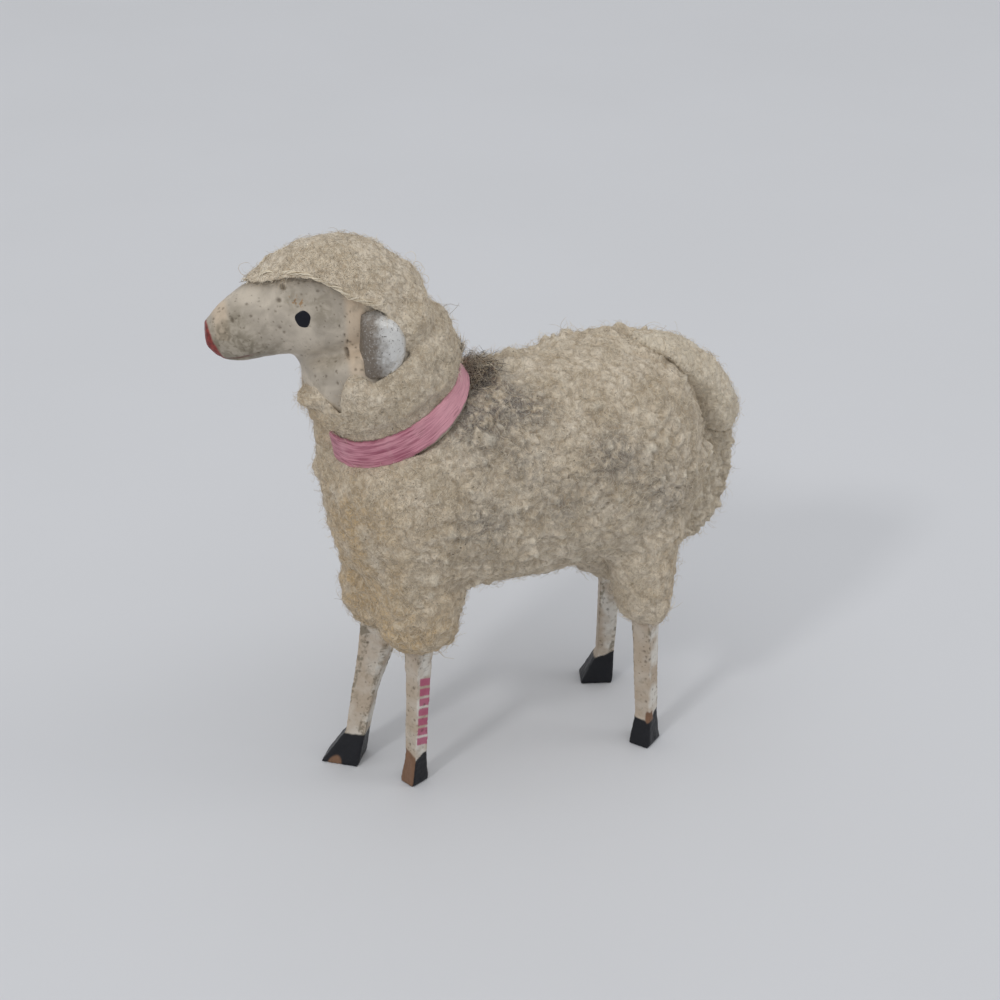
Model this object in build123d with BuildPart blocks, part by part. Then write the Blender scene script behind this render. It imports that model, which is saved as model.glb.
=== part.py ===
from build123d import *
from math import cos, radians, sin
import os

os.makedirs("parts", exist_ok=True)

# A stick-legged wool sheep. It faces -Y, its left side is +X and it stands on z = 0.
# All sizes are in millimetres.

# Body
body_length = 47.2
body_width = 24.4
body_height = 29.0
belly_height = 25.8
chest_y = -20.4
fleece_thickness = 2.2
chest_padding = 2.0

# Neck and collar: the neck leans forward from the shoulders
neck_lean = 28
neck_width = 17.0
neck_depth = 18.6
neck_back = 9.3
neck_rise = 9.5
chin_rise = 3.0
collar_drop = 3.7
ribbon_width = 3.3
ribbon_thickness = 0.5
ribbon_stand = 0.25
collar_forward = 0.4
throat_inset = 1.0
dowel_diameter = 5.0
dowel_seat_depth = 6.0
dowel_head_depth = 8.0

# Head
head_rise = 13.9
head_back = 8.3
head_turn = -10
head_reach = 21.3
skull_back = 2.6
skull_width = 12.6
skull_height = 12.6
throat_lift = 1.6
cap_thickness = 1.6
cap_taper = 0.85
brow_reach = 17.4
ear_height = 7.4
ear_width = 5.6
ear_dome = 2.2
ear_forward = 2.4
ear_drop = 2.7
ear_sink = 1.8
chin_back = 5.2

# Legs
thigh_thickness = 3.9
shank_thickness = 2.7
ankle_thickness = 2.4
hoof_height = 4.4
hoof_width = 3.5
hoof_length = 4.3
shank_rise = 1.6
tenon_rise = 11.2
tenon_diameter = 2.4
sleeve_drop = 5.4
sleeve_width = 11.4

# Tail and the edge of the fleece that stands up down the middle of the rump
tail_width = 6.2
tail_thickness = 4.9
tail_start = 11.0
tail_reach = 4.4
tail_drop = 11.6
flap_thickness = 3.8
flap_height = 16.4
flap_reach = 6.4

# Fits
glue_gap = 0.05

# Places worked out from the sizes above
body_back_y = chest_y + body_length
body_middle_y = chest_y + body_length / 2
body_middle_height = belly_height + body_height / 2
body_top_height = belly_height + body_height
collar_height = body_top_height - collar_drop
neck_axis = Vector(0, -sin(radians(neck_lean)), cos(radians(neck_lean)))
neck_back_way = Vector(0, cos(radians(neck_lean)), sin(radians(neck_lean)))
neck_start = Vector(0, chest_y + neck_back, collar_height)
head_forward = Vector(sin(radians(head_turn)), -cos(radians(head_turn)), 0)
head_left = Vector(cos(radians(head_turn)), sin(radians(head_turn)), 0)
head_middle = Vector(0, chest_y + head_back, collar_height + head_rise)
hip_height = belly_height + tenon_rise
shank_top_height = belly_height + shank_rise
sleeve_bottom_height = belly_height - sleeve_drop


def oval(plane, width, height):
    """A closed outline of four arcs, each a quarter of the way round."""
    half_width = width / 2
    half_height = height / 2
    corner_x = half_width * cos(radians(45))
    corner_y = half_height * sin(radians(45))
    with BuildSketch(plane) as outline:
        with BuildLine():
            ThreePointArc((half_width, 0), (corner_x, corner_y), (0, half_height))
            ThreePointArc((0, half_height), (-corner_x, corner_y), (-half_width, 0))
            ThreePointArc((-half_width, 0), (-corner_x, -corner_y), (0, -half_height))
            ThreePointArc((0, -half_height), (corner_x, -corner_y), (half_width, 0))
        make_face()
    return outline.sketch


def finish(piece, name):
    """Labels a finished piece and writes it out."""
    piece.label = name
    export_step(piece, f"parts/{name}.step")


# Body outline: along the body from chest to rump, width, height and lift of the middle
body_shares = [
    (0.000, 0.26, 0.32, 0.02),
    (0.030, 0.56, 0.62, 0.02),
    (0.095, 0.80, 0.85, 0.02),
    (0.220, 0.95, 0.96, 0.01),
    (0.450, 0.99, 0.97, -0.01),
    (0.720, 1.00, 1.00, 0.00),
    (0.880, 0.90, 0.95, 0.00),
    (0.960, 0.68, 0.74, -0.01),
    (1.000, 0.36, 0.42, -0.02),
]


def body_sections(inset, padding):
    """The body's outlines, drawn in by the inset all round and by the padding at the chest."""
    start_y = chest_y + inset + padding
    length = body_length - 2 * inset - padding
    width = body_width - 2 * inset
    height = body_height - 2 * inset
    sections = []
    for along, wide, high, lift in body_shares:
        y = start_y + along * length
        z = body_middle_height + lift * body_height
        plane = Plane(origin=(0, y, z), x_dir=(1, 0, 0), z_dir=(0, -1, 0))
        sections.append(oval(plane, wide * width, high * height))
    return sections


jacket_sections = body_sections(0, 0)
core_sections = body_sections(fleece_thickness, chest_padding)


# Places of the legs: sole and hip, each across and along from the body's middle
leg_shares = {
    "front_left": (0.34, -0.326, 0.40, -0.297),
    "front_right": (-0.28, -0.449, -0.40, -0.282),
    "rear_left": (0.63, 0.337, 0.55, 0.313),
    "rear_right": (-0.62, 0.358, -0.53, 0.373),
}

# Sizes of the legs: the stick's thickness, the hoof's size, the reach of the toe as a share of
# the hoof's length, and the size of the wool round the top of the leg
leg_size_shares = {
    "front_left": (0.83, 0.68, 0.04, 1.00),
    "front_right": (1.12, 1.18, 0.30, 1.00),
    "rear_left": (0.92, 0.84, 0.11, 0.87),
    "rear_right": (1.00, 1.03, 0.26, 1.04),
}

# How far each stick is turned about its length, in degrees
leg_turns = {
    "front_left": 22,
    "front_right": -38,
    "rear_left": 35,
    "rear_right": -20,
}


def leg_point(name, height):
    """The middle of one leg at a height, on the line from its sole to its hip."""
    sole_across, sole_along, hip_across, hip_along = leg_shares[name]
    sole_y = body_middle_y + sole_along * body_length
    hip_y = body_middle_y + hip_along * body_length
    sole = Vector(sole_across * body_width / 2, sole_y, 0)
    hip = Vector(hip_across * body_width / 2, hip_y, hip_height)
    return sole + (hip - sole) * (height / hip_height)


def leg_plane(name, height, turn):
    """A level plane on the leg's axis, turned about it."""
    x_dir = (cos(radians(turn)), sin(radians(turn)), 0)
    return Plane(origin=leg_point(name, height), x_dir=x_dir, z_dir=(0, 0, 1))


def tenon_plane(name):
    """A plane square to the leg's axis, at the top of its shank."""
    axis = leg_point(name, hip_height) - leg_point(name, 0)
    return Plane(origin=leg_point(name, shank_top_height), z_dir=axis)


def tenon_length(name):
    """The length of the round end that goes up into the body."""
    return (leg_point(name, hip_height) - leg_point(name, shank_top_height)).length


# The neck dowel runs along the neck's axis, from its seat in the body up into the head
dowel_plane = Plane(origin=neck_start - neck_axis * dowel_seat_depth, z_dir=neck_axis)
dowel_length = dowel_seat_depth + dowel_head_depth

# Body core: one turned block with sockets for the four legs and the neck
with BuildPart() as body_core:
    loft(sections=core_sections)
    for leg_name in leg_shares:
        with BuildSketch(tenon_plane(leg_name)):
            Circle(tenon_diameter / 2 + glue_gap)
        extrude(amount=tenon_length(leg_name) + glue_gap, mode=Mode.SUBTRACT)
    with BuildSketch(dowel_plane):
        Circle(dowel_diameter / 2 + glue_gap)
    extrude(amount=dowel_length, mode=Mode.SUBTRACT)
finish(body_core.part, "body_core")

with BuildPart() as neck_dowel:
    with BuildSketch(dowel_plane):
        Circle(dowel_diameter / 2)
    extrude(amount=dowel_length)
finish(neck_dowel.part, "neck_dowel")

# Legs: whittled sticks from a flat sole, over the ankle and shank, to a round tenon
legs = {}
knee_height = (hoof_height + shank_top_height) / 2
for leg_name, (stick_share, hoof_share, toe_share, *rest) in leg_size_shares.items():
    turn = leg_turns[leg_name]
    toe = Location((0, -toe_share * hoof_length, 0))
    with BuildPart() as leg:
        with BuildSketch(leg_plane(leg_name, 0, turn).move(toe)):
            Rectangle(hoof_share * hoof_width, hoof_share * hoof_length)
        with BuildSketch(leg_plane(leg_name, hoof_height, turn)):
            Rectangle(stick_share * ankle_thickness, stick_share * ankle_thickness)
        with BuildSketch(leg_plane(leg_name, knee_height, turn)):
            Rectangle(stick_share * shank_thickness, stick_share * shank_thickness)
        with BuildSketch(leg_plane(leg_name, shank_top_height, turn)):
            Rectangle(stick_share * thigh_thickness, stick_share * thigh_thickness)
        loft(ruled=True)
        with BuildSketch(tenon_plane(leg_name)):
            Circle(tenon_diameter / 2)
        extrude(amount=tenon_length(leg_name))
        add(body_core.part, mode=Mode.SUBTRACT)
    legs[leg_name] = leg.part
    finish(leg.part, f"leg_{leg_name}")

# Neck outline: rise along the neck as a share of its rise, then width and depth
neck_shares = [
    (0.50, 1.00, 0.99),
    (1.00, 0.94, 0.98),
]

# Width and depth where the ribbon draws the wool in
collar_shares = (0.98, 0.92)
neckline_share = 0.62


def neck_section(rise, wide, deep, inset, ahead=0):
    """The neck's outline at a rise above the collar, drawn in by the inset and moved ahead."""
    origin = neck_start + neck_axis * rise - neck_back_way * ahead
    plane = Plane(origin=origin, x_dir=(1, 0, 0), z_dir=neck_axis)
    return oval(plane, wide * neck_width - 2 * inset, deep * neck_depth - 2 * inset)


def collar_section(rise, inset):
    """The drawn-in outline under the ribbon, drawn in further by the inset."""
    return neck_section(rise, *collar_shares, inset, collar_forward)


def head_plane(forward, lift):
    """A plane square to the head's length, at a distance forward of the skull's middle."""
    origin = head_middle + head_forward * forward + Vector(0, 0, lift)
    return Plane(origin=origin, x_dir=head_left, z_dir=head_forward)


# Muzzle outline: forward, width, height and lift of the middle
muzzle_shares = [
    (1.00, 0.21, 0.21, -0.16),
    (0.94, 0.40, 0.43, -0.165),
    (0.86, 0.51, 0.61, -0.135),
    (0.75, 0.59, 0.72, -0.075),
    (0.61, 0.68, 0.83, 0.00),
    (0.49, 0.79, 0.89, 0.02),
    (0.28, 0.97, 0.95, 0.035),
    (0.07, 0.96, 0.87, -0.045),
]

# Skull outline behind that: back, width, height and lift
skull_shares = [
    (0.50, 0.80, 0.70, -0.13),
    (1.00, 0.46, 0.46, -0.17),
]


def head_sections(grow):
    """The head's outlines from nose to skull, grown outward by a thickness that tapers ahead."""
    places = [(1 - cap_taper * share**2, share * head_reach, *rest) for share, *rest in muzzle_shares]
    places += [(1, -share * (skull_back + grow), *rest) for share, *rest in skull_shares]
    sections = []
    for taper, forward, wide, high, lift in places:
        plane = head_plane(forward, lift * skull_height)
        growth = 2 * grow * taper
        sections.append(oval(plane, wide * skull_width + growth, high * skull_height + growth))
    return sections


# Under the chin the throat and its wool go on up to the jaw, a little narrower at the top
chin_sections = [
    (neck_rise, 0.97, 1.00),
    (neck_rise + chin_rise, 0.88, 0.81),
]

# Head: one casting with its throat, hollowed for the neck dowel
with BuildPart() as head:
    loft(sections=head_sections(0))
    throat_sections = [collar_section(throat_lift, fleece_thickness)]
    throat_sections += [neck_section(*section, throat_inset) for section in chin_sections]
    loft(sections=throat_sections)
    with BuildSketch(dowel_plane):
        Circle(dowel_diameter / 2 + glue_gap)
    extrude(amount=dowel_length + glue_gap, mode=Mode.SUBTRACT)
finish(head.part, "head")

# Ears: thin domes pressed on the sides of the head
ear_shares = [
    (0.00, 1.00),
    (0.55, 0.92),
    (0.88, 0.62),
    (1.00, 0.26),
]
ears = {}
for side, side_name in [(1, "left"), (-1, "right")]:
    outward = head_left * side
    ear_middle = head_middle + head_forward * ear_forward - Vector(0, 0, ear_drop)
    ear_base = ear_middle + outward * (skull_width / 2 - ear_sink)
    ear_depth = ear_dome + ear_sink
    with BuildPart() as ear:
        ear_sections = []
        for rise, spread in ear_shares:
            origin = ear_base + outward * rise * ear_depth
            plane = Plane(origin=origin, x_dir=head_forward, z_dir=outward)
            ear_sections.append(oval(plane, spread * ear_width, spread * ear_height))
        loft(sections=ear_sections)
        add(head.part, mode=Mode.SUBTRACT)
    ears[side_name] = ear.part
    finish(ear.part, f"ear_{side_name}")

# Collar: a ribbon band drawn tight round the wool of the neck
band_bottom = -ribbon_width / 2
band_top = ribbon_width / 2
with BuildPart() as collar:
    loft(sections=[collar_section(rise, -ribbon_stand) for rise in (band_bottom, band_top)])
    band_inset = ribbon_thickness - ribbon_stand
    inner_sections = [collar_section(rise, band_inset) for rise in (band_bottom, band_top)]
    loft(sections=inner_sections, mode=Mode.SUBTRACT)
finish(collar.part, "collar")

# Chin wool: the front of the neck wool, which goes on up to the jaw
with BuildPart() as chin_wool:
    loft(sections=[neck_section(*section, 0) for section in chin_sections])
    chin_middle = neck_start + neck_axis * (neck_rise + chin_rise) - Vector(0, neck_depth, 0)
    with Locations(chin_middle):
        Box(2 * neck_width, 2 * neck_depth - chin_back, 2 * neck_depth, mode=Mode.INTERSECT)

# Side view of the notch in the neck wool that shows the cheek: forward, as shares of the reach
# to the brow, and up from the head's middle, as shares of the skull's height
cheek_shares = [
    (0.62, -0.45),
    (0.43, -0.80),
    (0.35, -0.74),
    (0.27, -0.56),
    (0.16, -0.44),
    (0.10, 0.00),
    (0.62, 0.00),
]
side_plane = Plane(origin=head_middle, x_dir=head_forward, z_dir=-head_left)

# Neck wool: a cuff round the throat, from under the ribbon up to the jaw
neck_sections = [collar_section(rise, 0) for rise in (band_bottom, 0, band_top)]
neck_sections += [neck_section(rise * neck_rise, wide, deep, 0) for rise, wide, deep in neck_shares]
with BuildPart() as wool_neck:
    loft(sections=neck_sections)
    add(chin_wool.part)
    with BuildSketch(side_plane):
        with BuildLine():
            cheek_points = [(x * brow_reach, y * skull_height) for x, y in cheek_shares]
            Polyline(*cheek_points, close=True)
        make_face()
    extrude(amount=skull_width, both=True, mode=Mode.SUBTRACT)
    loft(sections=core_sections, mode=Mode.SUBTRACT)
    for rigid_piece in [head.part, neck_dowel.part, collar.part, *ears.values()]:
        add(rigid_piece, mode=Mode.SUBTRACT)
finish(wool_neck.part, "wool_neck")

# Jacket: the fleece glued round the body core, with a neckline that meets the neck wool
with BuildPart() as wool_body:
    loft(sections=jacket_sections)
    neckline = collar_section(band_bottom, 0)
    neckline_foot = neck_section(-neckline_share * neck_rise, 1, 1, 0)
    loft(sections=[neckline_foot, neckline])
    loft(sections=neck_sections, mode=Mode.SUBTRACT)
    loft(sections=core_sections, mode=Mode.SUBTRACT)
    for rigid_piece in [head.part, neck_dowel.part, collar.part, *legs.values()]:
        add(rigid_piece, mode=Mode.SUBTRACT)
finish(wool_body.part, "wool_body")

# Side view of the bare face: forward, as shares of the reach to the brow, and up from the
# head's middle, as shares of the skull's height
face_shares = [
    (0.62, 0.75),
    (0.86, 0.48),
    (0.98, 0.37),
    (1.00, 0.29),
    (0.88, 0.33),
    (0.72, 0.39),
    (0.62, 0.40),
    (0.49, 0.405),
    (0.41, 0.37),
    (0.34, 0.28),
    (0.26, 0.23),
    (0.18, 0.18),
    (0.10, 0.12),
    (0.06, -0.10),
    (0.10, -0.38),
    (0.16, -0.50),
    (0.40, -0.95),
    (1.60, -0.95),
    (1.60, 0.75),
]

# Cap: thick felted wool over the crown, open at the face and resting on the neck wool
with BuildPart() as wool_cap:
    loft(sections=head_sections(cap_thickness))
    face_points = [(x * brow_reach, y * skull_height) for x, y in face_shares]
    with BuildSketch(side_plane):
        with BuildLine():
            Polyline(*face_points, close=True)
        make_face()
    extrude(amount=skull_width, both=True, mode=Mode.SUBTRACT)
    neck_top = Plane(origin=neck_start + neck_axis * neck_rise, x_dir=(1, 0, 0), z_dir=neck_axis)
    with BuildSketch(neck_top):
        Rectangle(2 * neck_width, 3 * neck_depth)
    extrude(amount=-neck_depth, mode=Mode.SUBTRACT)
    for rigid_piece in [head.part, *ears.values()]:
        add(rigid_piece, mode=Mode.SUBTRACT)
finish(wool_cap.part, "wool_cap")

# Leg wool outline: rise from the cuff to the hip, width and depth
sleeve_shares = [
    (0.00, 0.60, 0.62),
    (0.08, 0.74, 0.76),
    (0.35, 0.90, 0.98),
    (0.80, 1.00, 1.16),
]

# Leg wool: a tapered sleeve round the top of each leg, under the jacket
sleeves = {}
for leg_name in leg_shares:
    *rest, sleeve_share = leg_size_shares[leg_name]
    sleeve_size = sleeve_share * sleeve_width
    with BuildPart() as sleeve:
        sleeve_sections = []
        for rise, wide, deep in sleeve_shares:
            height = sleeve_bottom_height + rise * (hip_height - sleeve_bottom_height)
            plane = leg_plane(leg_name, height, 0)
            sleeve_sections.append(oval(plane, wide * sleeve_size, deep * sleeve_size))
        loft(sections=sleeve_sections)
        loft(sections=jacket_sections, mode=Mode.SUBTRACT)
        for nearby_piece in [*legs.values(), *sleeves.values()]:
            add(nearby_piece, mode=Mode.SUBTRACT)
    sleeves[leg_name] = sleeve.part
    finish(sleeve.part, f"wool_leg_{leg_name}")

# Tail: along from its start to its reach, height from the top of its roll to its drop,
# size and the slope of the roll in degrees
tail_shares = [
    (0.00, 0.03, 0.55, 90),
    (0.32, 0.00, 0.94, 88),
    (0.58, 0.13, 1.00, 62),
    (0.84, 0.42, 1.00, 38),
    (0.98, 0.76, 1.02, 12),
    (1.00, 1.00, 0.66, 0),
]

# Tail: a roll of fleece that lies on the rump and hangs free at its end
with BuildPart() as tail:
    tail_sections = []
    tail_top_height = body_top_height - tail_thickness / 2
    tail_length = tail_start + tail_reach
    for along, down, size, slope in tail_shares:
        y = body_back_y - tail_start + along * tail_length
        z = tail_top_height - down * tail_drop
        along_roll = Vector(0, sin(radians(slope)), -cos(radians(slope)))
        plane = Plane(origin=(0, y, z), x_dir=(1, 0, 0), z_dir=along_roll)
        tail_sections.append(oval(plane, size * tail_width, size * tail_thickness))
    loft(sections=tail_sections)
    loft(sections=jacket_sections, mode=Mode.SUBTRACT)
finish(tail.part, "tail")

# Rump flap, seen from the side: out from the rump, as shares of its reach, and up from its
# lower end, as shares of its height
flap_shares = [
    (-0.55, 1.00),
    (0.60, 1.00),
    (0.95, 0.86),
    (1.00, 0.55),
    (0.78, 0.24),
    (0.36, 0.06),
    (-0.05, 0.00),
    (-0.55, 0.12),
]

# Rump flap: the two edges of the jacket, pinched together and standing out
with BuildPart() as rump_flap:
    flap_origin = (0, body_back_y, belly_height)
    with BuildSketch(Plane(origin=flap_origin, x_dir=(0, 1, 0), z_dir=(1, 0, 0))):
        with BuildLine():
            Polyline(*[(x * flap_reach, y * flap_height) for x, y in flap_shares], close=True)
        make_face()
    extrude(amount=flap_thickness / 2, both=True)
    loft(sections=jacket_sections, mode=Mode.SUBTRACT)
    add(tail.part, mode=Mode.SUBTRACT)
finish(rump_flap.part, "rump_flap")
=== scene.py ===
"""Looks of the stick-legged wool sheep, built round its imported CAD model.

The sheep faces -Y, its left side is +X and it stands on z = 0. Points and sizes in this
script are millimetres; they become metres where a mesh, a lamp or the camera is made.
A layer is a value kept on each point of a mesh, which its material reads. A shift moves a
noise, so that two uses of it don't match.
"""

import math

import bpy
import numpy as np
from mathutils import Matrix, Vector, noise
from mathutils.bvhtree import BVHTree


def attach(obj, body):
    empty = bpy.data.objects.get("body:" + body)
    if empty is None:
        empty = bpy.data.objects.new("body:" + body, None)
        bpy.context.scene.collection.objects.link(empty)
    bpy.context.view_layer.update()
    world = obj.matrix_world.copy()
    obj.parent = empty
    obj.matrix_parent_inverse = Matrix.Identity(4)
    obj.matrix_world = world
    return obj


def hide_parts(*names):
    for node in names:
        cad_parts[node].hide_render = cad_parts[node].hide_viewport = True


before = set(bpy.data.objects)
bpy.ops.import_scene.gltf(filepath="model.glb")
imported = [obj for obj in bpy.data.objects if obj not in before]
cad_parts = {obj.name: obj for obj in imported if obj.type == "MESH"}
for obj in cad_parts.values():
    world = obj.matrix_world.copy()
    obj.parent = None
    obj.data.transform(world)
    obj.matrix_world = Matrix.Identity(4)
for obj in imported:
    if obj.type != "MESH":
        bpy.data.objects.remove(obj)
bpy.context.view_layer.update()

MM = 0.001
NOISE_SEED = 5
noise.seed_set(NOISE_SEED)

# Neck, head and hooves, as in the CAD
CHEST_Y = -20.4
COLLAR_HEIGHT = 51.1
NECK_LEAN = math.radians(28)
RIBBON_WIDTH = 3.3
COLLAR_FORWARD = 0.4
COLLAR_HALF_WIDTH = 8.33
COLLAR_HALF_DEPTH = 8.56
HEAD_TURN = math.radians(-10)
HEAD_RISE = 13.9
NECK_BACK = 9.3
HEAD_BACK = 8.3
HOOF_HEIGHT = 4.4

X_AXIS = np.array((1.0, 0.0, 0.0))
Z_AXIS = np.array((0.0, 0.0, 1.0))
neck_axis = np.array((0.0, -math.sin(NECK_LEAN), math.cos(NECK_LEAN)))
neck_side = np.cross(neck_axis, X_AXIS)
collar_middle = np.array((0.0, CHEST_Y + NECK_BACK, COLLAR_HEIGHT)) - COLLAR_FORWARD * neck_side
head_forward = np.array((math.sin(HEAD_TURN), -math.cos(HEAD_TURN), 0.0))
head_left = np.array((math.cos(HEAD_TURN), math.sin(HEAD_TURN), 0.0))
head_middle = np.array((0.0, CHEST_Y + HEAD_BACK, COLLAR_HEIGHT + HEAD_RISE))

LEG_NAMES = ("front_left", "front_right", "rear_left", "rear_right")


# Numbers and meshes


def unit(vectors):
    """Vectors scaled to a length of one."""
    lengths = np.linalg.norm(vectors, axis=-1, keepdims=True)
    return vectors / np.maximum(lengths, 1e-12)


def smoothstep(low, high, values):
    """A soft step from 0 at low to 1 at high."""
    share = np.clip((np.asarray(values) - low) / (high - low), 0, 1)
    return share * share * (3 - 2 * share)


def bell(values, middle, width):
    """A soft bump, 1 at its middle."""
    return np.exp(-(((values - middle) / width) ** 2))


def spread(points, spots):
    """How strongly some round spots reach each point: place, radius and strength each."""
    total = np.zeros(len(points))
    for x, y, z, radius, strength in spots:
        away = np.linalg.norm(points - (x, y, z), axis=1)
        total += strength * bell(away, 0, radius)
    return np.clip(total, 0, 1)


def add_object(name, data):
    """A new object in the scene."""
    made = bpy.data.objects.new(name, data)
    bpy.context.scene.collection.objects.link(made)
    return made


def read_values(items, name, kind=float):
    """One number of each point, corner or value of a mesh."""
    values = np.empty(len(items), dtype=kind)
    items.foreach_get(name, values)
    return values


def read_points(mesh):
    """The points of a mesh in millimetres."""
    flat = np.empty(len(mesh.vertices) * 3)
    mesh.vertices.foreach_get("co", flat)
    return flat.reshape(-1, 3) / MM


def node_mesh(names):
    """Points in millimetres and faces of some CAD nodes together."""
    points, faces, start = [], [], 0
    for name in names:
        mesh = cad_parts[name].data
        points.append(read_points(mesh))
        faces += [[start + i for i in polygon.vertices] for polygon in mesh.polygons]
        start += len(mesh.vertices)
    return np.concatenate(points), faces


def surface_tree(points, faces):
    """A search tree for the nearest point of a surface."""
    return BVHTree.FromPolygons(points.tolist(), [list(face) for face in faces])


def distance_to(names, points, reach=4.0):
    """How far each point lies from some CAD nodes, up to a reach."""
    tree = surface_tree(*node_mesh(names))
    found = [tree.find_nearest(Vector(point), reach)[3] for point in points.tolist()]
    return np.array([reach if distance is None else distance for distance in found])


def largest_island(count, edges):
    """Marks the points of the largest connected part of a mesh."""
    label = np.arange(count)
    while True:
        lowest = label.copy()
        np.minimum.at(lowest, edges[:, 0], label[edges[:, 1]])
        np.minimum.at(lowest, edges[:, 1], label[edges[:, 0]])
        lowest = lowest[lowest]
        if np.array_equal(lowest, label):
            break
        label = lowest
    names, sizes = np.unique(label, return_counts=True)
    return label == names[sizes.argmax()]


def ring_quads(rings, sides, start=0):
    """Quads between rings of points that follow each other."""
    quads = []
    for ring in range(rings):
        low, high = start + ring * sides, start + (ring + 1) * sides
        for step in range(sides):
            after = (step + 1) % sides
            quads.append((low + step, low + after, high + after, high + step))
    return quads


def with_lumps(points, faces, lumps):
    """A mesh with some egg-shaped lumps added: middle and half sizes of each."""
    rings, sides = 10, 16
    rise = np.repeat(np.linspace(-1, 1, rings + 1) * math.pi / 2, sides)
    turn = np.tile(np.arange(sides) * 2 * math.pi / sides, rings + 1)
    egg = np.stack([np.cos(rise) * np.cos(turn), np.cos(rise) * np.sin(turn), np.sin(rise)], 1)
    for middle, half_sizes in lumps:
        faces += ring_quads(rings, sides, len(points))
        points = np.concatenate([points, np.array(middle) + egg * half_sizes])
    return points, faces


def voxel_skin(nodes, voxel, lumps=()):
    """The outer skin of some CAD nodes and lumps taken together, as even quads."""
    points, faces = with_lumps(*node_mesh(nodes), lumps)
    mesh = bpy.data.meshes.new("skin")
    mesh.from_pydata((points * MM).tolist(), [], faces)
    holder = add_object("skin", mesh)
    remesh = holder.modifiers.new("remesh", "REMESH")
    remesh.mode = "VOXEL"
    remesh.voxel_size = voxel * MM
    graph = bpy.context.evaluated_depsgraph_get()
    skin = bpy.data.meshes.new_from_object(holder.evaluated_get(graph))
    points, quads = read_points(skin), read_values(skin.loops, "vertex_index", int).reshape(-1, 4)
    bpy.data.objects.remove(holder)
    bpy.data.meshes.remove(skin)
    bpy.data.meshes.remove(mesh)
    kept = largest_island(len(points), quad_edges(quads))
    renumbered = np.cumsum(kept) - 1
    return points[kept], renumbered[quads[kept[quads[:, 0]]]]


def quad_edges(quads):
    """Each side of each quad, as a pair of points."""
    return np.concatenate([quads[:, (i, (i + 1) % 4)] for i in range(4)])


def relax(points, quads, rounds, weight=None):
    """Points drawn towards the middle of their neighbours."""
    edges = quad_edges(quads)
    edges = np.concatenate([edges, edges[:, ::-1]])
    count = len(points)
    near = np.bincount(edges[:, 0], minlength=count)[:, None]
    share = 0.5 if weight is None else 0.5 * weight[:, None]
    for _ in range(rounds):
        total = [np.bincount(edges[:, 0], points[edges[:, 1], k], count) for k in range(3)]
        points = points + (np.stack(total, 1) / near - points) * share
    return points


def quad_crosses(points, quads):
    """The cross product of each quad's diagonals: it points outward and is twice the area long."""
    return np.cross(points[quads[:, 2]] - points[quads[:, 0]], points[quads[:, 3]] - points[quads[:, 1]])


def point_normals(points, quads):
    """The outward direction at each point."""
    across = quad_crosses(points, quads)
    normals = np.zeros_like(points)
    for corner in range(4):
        for k in range(3):
            normals[:, k] += np.bincount(quads[:, corner], across[:, k], len(points))
    return unit(normals)


def make_piece(name, points, faces, materials, layers=None):
    """A smooth-shaded piece that rides on the figurine."""
    mesh = bpy.data.meshes.new(name)
    faces = np.asarray(faces)
    sides = faces.shape[1]
    mesh.vertices.add(len(points))
    mesh.vertices.foreach_set("co", (np.asarray(points) * MM).ravel())
    mesh.loops.add(faces.size)
    mesh.loops.foreach_set("vertex_index", faces.ravel())
    mesh.polygons.add(len(faces))
    mesh.polygons.foreach_set("loop_start", np.arange(len(faces)) * sides)
    mesh.update(calc_edges=True)
    mesh.shade_smooth()
    for material in materials:
        mesh.materials.append(material)
    for layer, values in (layers or {}).items():
        mesh.attributes.new(layer, "FLOAT", "POINT").data.foreach_set("value", values.astype(np.float32))
    piece = add_object(name, mesh)
    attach(piece, "root")
    return piece


def piece_mesh(piece):
    """Points in millimetres and quads of a finished piece."""
    return read_points(piece.data), read_values(piece.data.loops, "vertex_index", int).reshape(-1, 4)


def piece_layer(piece, name):
    """The values that a finished piece keeps on its points."""
    return read_values(piece.data.attributes[name].data, "value", np.float32)


# Noise


def perlin(points, size, shift=0.0):
    """Smooth noise from -1 to 1 with lumps of a size."""
    return np.array([noise.noise(point) for point in (points / size + shift).tolist()])


def perlin_vectors(points, size, shift=0.0):
    """Smooth noise as vectors."""
    return np.array([noise.noise_vector(point) for point in (points / size + shift).tolist()])


def cells(points, size, shift=0.0):
    """Distances to the two nearest cell middles, in cells, and the cell's own number from 0 to 1."""
    near, second, number = [], [], []
    for point in (points / size + shift).tolist():
        distances, middles = noise.voronoi(point)
        near.append(distances[0])
        second.append(distances[1])
        number.append(noise.cell(middles[0] * 7.31))
    return np.array(near), np.array(second), np.abs(number)


# Materials


def linear(red, green, blue):
    """An sRGB colour of 0 to 255 as the linear colour a shader wants."""
    shares = [value / 255 for value in (red, green, blue)]
    return tuple(s / 12.92 if s <= 0.04045 else ((s + 0.055) / 1.055) ** 2.4 for s in shares) + (1.0,)


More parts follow.
